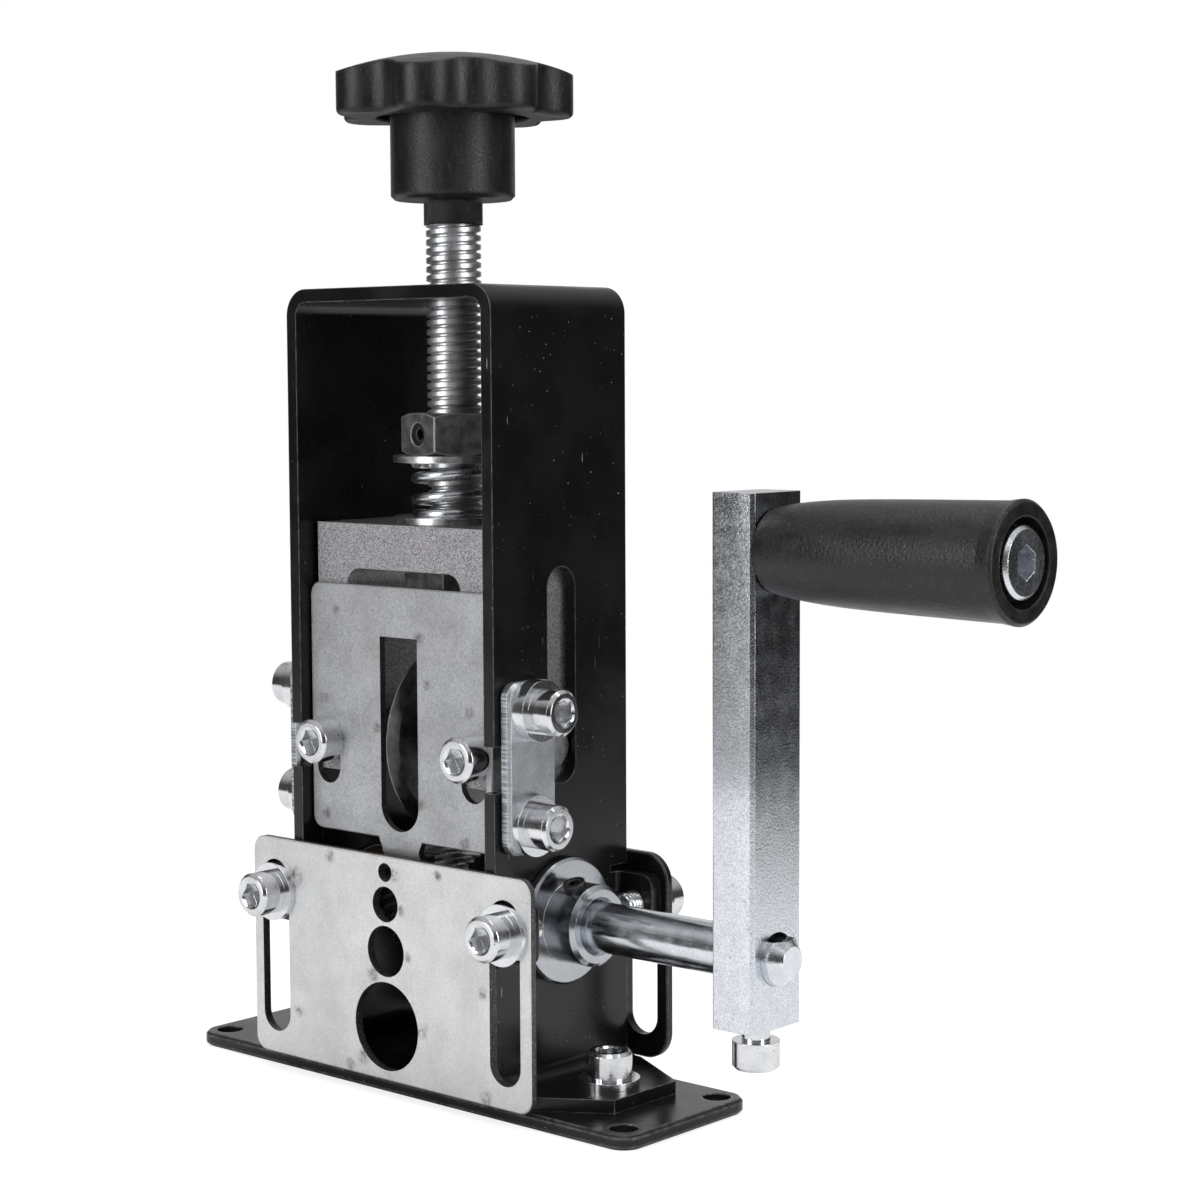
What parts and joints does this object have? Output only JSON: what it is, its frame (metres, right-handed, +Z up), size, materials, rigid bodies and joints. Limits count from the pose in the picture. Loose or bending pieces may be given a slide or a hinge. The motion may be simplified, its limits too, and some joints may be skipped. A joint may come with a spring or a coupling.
{
  "type": "hand crank wire stripper",
  "caption": "Bench wire stripper: a crank turns a toothed feed roller under a disc blade that a sprung screw press holds in a portal frame, with sliding wire guide plates.",
  "frame": {"origin": "centre of the base plate's underside, between the four bench holes", "axes": "+X to the crank side, +Y to the rear of the tool, +Z up along the press screw"},
  "size_m": [0.2186, 0.0622, 0.2317],
  "materials": {
    "black_paint": "gloss black powder coat with fine scratches",
    "zinc_screw": "bright zinc-plated screws and washers",
    "zinc_plate": "bluish zinc-plated bar and collar stock",
    "zinc_rod": "zinc-plated rod and shaft",
    "galvanised_sheet": "matt galvanised sheet with faint marks",
    "grey_iron": "blasted grey iron with a fine speckle",
    "dark_steel": "dark oiled steel",
    "bright_steel": "bright turned steel",
    "blade_steel": "ground tool steel",
    "spring_steel": "bright spring wire",
    "bronze": "oiled sintered bronze",
    "black_plastic": "fine-grained moulded black plastic",
    "grip_plastic": "smooth satin black plastic"
  },
  "bodies": {
    "stand": {"base_plate": "black_paint", "frame": "black_paint", "foot_bolts": "zinc_screw", "foot_washers": "zinc_screw", "side_bar_left": "zinc_plate", "side_bar_right": "zinc_plate", "side_bar_bolts": "zinc_screw", "side_bar_washers": "zinc_screw", "shaft_bushes": "bronze", "front_guide_bolts": "zinc_screw", "front_guide_washers": "zinc_screw", "rear_guide_bolts": "zinc_screw", "rear_guide_washers": "zinc_screw"},
    "press": {"upper_washer": "zinc_screw"},
    "screw": {"press_screw": "zinc_rod", "knob": "black_plastic", "stop_nut": "dark_steel", "stop_nut_grub": "dark_steel", "retaining_nut": "dark_steel"},
    "carriage": {"blade_block": "grey_iron", "spring": "spring_steel", "lower_washer": "zinc_screw", "blade_axle": "bright_steel", "blade_spacers": "bright_steel", "depth_plate_screws": "zinc_screw"},
    "blade": {"cutting_blade": "blade_steel"},
    "depth_gauge": {"depth_plate": "galvanised_sheet"},
    "crank": {"drive_shaft": "zinc_rod", "feed_roller": "dark_steel", "roller_key": "bright_steel", "shaft_collars": "zinc_plate", "collar_grubs": "dark_steel", "crank_arm": "zinc_plate", "arm_clamp_screw": "zinc_screw", "grip_bolt": "zinc_screw"},
    "grip": {"hand_grip": "grip_plastic"},
    "front_guide": {"front_guide_plate": "galvanised_sheet"},
    "rear_guide": {"rear_guide_plate": "black_paint"}
  },
  "joints": [
    {"name": "press_feed", "type": "slide", "parent": "stand", "child": "press", "axis": [0, 0, 1], "range_m": [-0.0012, 0.024]},
    {"name": "knob_turn", "type": "hinge", "parent": "press", "child": "screw", "pos_m": [0, 0, 0.16], "axis": [0, 0, 1], "range_deg": [-216.2, 4320.2]},
    {"name": "spring_travel", "type": "slide", "parent": "press", "child": "carriage", "axis": [0, 0, 1], "range_m": [0, 0.0025], "stiffness_N_per_m": 40000, "springref_m": -0.001, "deforming": ["spring"]},
    {"name": "blade_spin", "type": "hinge", "parent": "carriage", "child": "blade", "pos_m": [0, 0, 0.079], "axis": [1, 0, 0], "continuous": true},
    {"name": "depth_slide", "type": "slide", "parent": "carriage", "child": "depth_gauge", "axis": [0, 0, 1], "range_m": [0, 0.0045]},
    {"name": "crank_turn", "type": "hinge", "parent": "stand", "child": "crank", "pos_m": [0, 0, 0.0408], "axis": [1, 0, 0], "continuous": true},
    {"name": "grip_spin", "type": "hinge", "parent": "crank", "child": "grip", "pos_m": [0.12, 0, 0.125], "axis": [1, 0, 0], "continuous": true},
    {"name": "front_guide_slide", "type": "slide", "parent": "stand", "child": "front_guide", "axis": [0, 0, 1], "range_m": [-0.003, 0.014]},
    {"name": "rear_guide_slide", "type": "slide", "parent": "stand", "child": "rear_guide", "axis": [0, 0, 1], "range_m": [-0.003, 0.014]}
  ],
  "couplings": [
    {"joint": "knob_turn", "follows": "press_feed", "rad_per_m": 3141.6}
  ]
}
